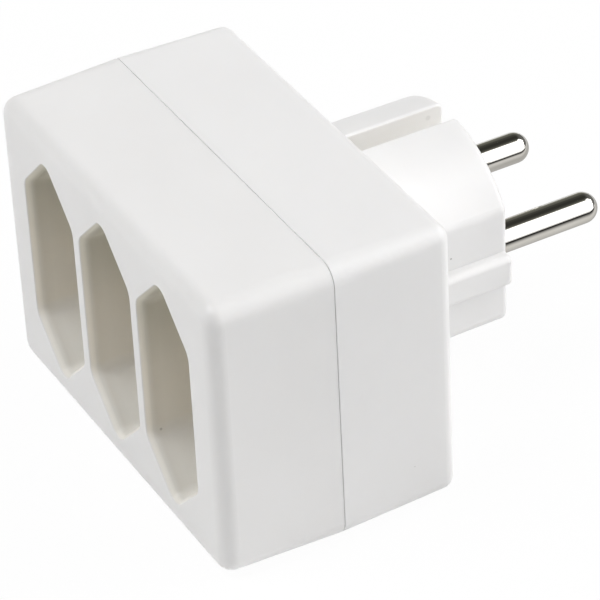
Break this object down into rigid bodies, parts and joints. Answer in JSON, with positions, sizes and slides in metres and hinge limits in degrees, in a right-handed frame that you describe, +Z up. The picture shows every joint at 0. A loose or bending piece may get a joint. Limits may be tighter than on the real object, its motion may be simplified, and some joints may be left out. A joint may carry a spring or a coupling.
{
  "type": "multi socket adapter",
  "caption": "White plastic block with a row of flat hexagonal plug wells in front and a round contour plug with two bare pins behind.",
  "frame": {"origin": "under the middle of the overall length and width, on the plane that the housing stands on", "axes": "+Y from the front face along the plug pins, +X to the right as seen from the front, +Z up along the long axis of the wells"},
  "size_m": [0.0656, 0.0762, 0.0471],
  "materials": {
    "front_housing": "satin moulded white thermoplastic",
    "rear_housing": "satin moulded white thermoplastic",
    "plug_pin": "nickel-plated brass, polished",
    "busbar": "bare rolled brass strip",
    "contact_clip": "bare spring bronze strip",
    "rivet": "bare brass",
    "screw": "zinc-plated steel"
  },
  "bodies": {
    "root": {"front_shell": "front_housing", "rear_shell": "rear_housing", "plug_pin_left": "plug_pin", "plug_pin_right": "plug_pin", "housing_screw": "screw", "busbar_upper": "busbar", "contact_clip_upper_left": "contact_clip", "clip_rivet_upper_left": "rivet", "contact_clip_upper_middle": "contact_clip", "clip_rivet_upper_middle": "rivet", "contact_clip_upper_right": "contact_clip", "clip_rivet_upper_right": "rivet", "busbar_lower": "busbar", "contact_clip_lower_left": "contact_clip", "clip_rivet_lower_left": "rivet", "contact_clip_lower_middle": "contact_clip", "clip_rivet_lower_middle": "rivet", "contact_clip_lower_right": "contact_clip", "clip_rivet_lower_right": "rivet"}
  },
  "joints": []
}
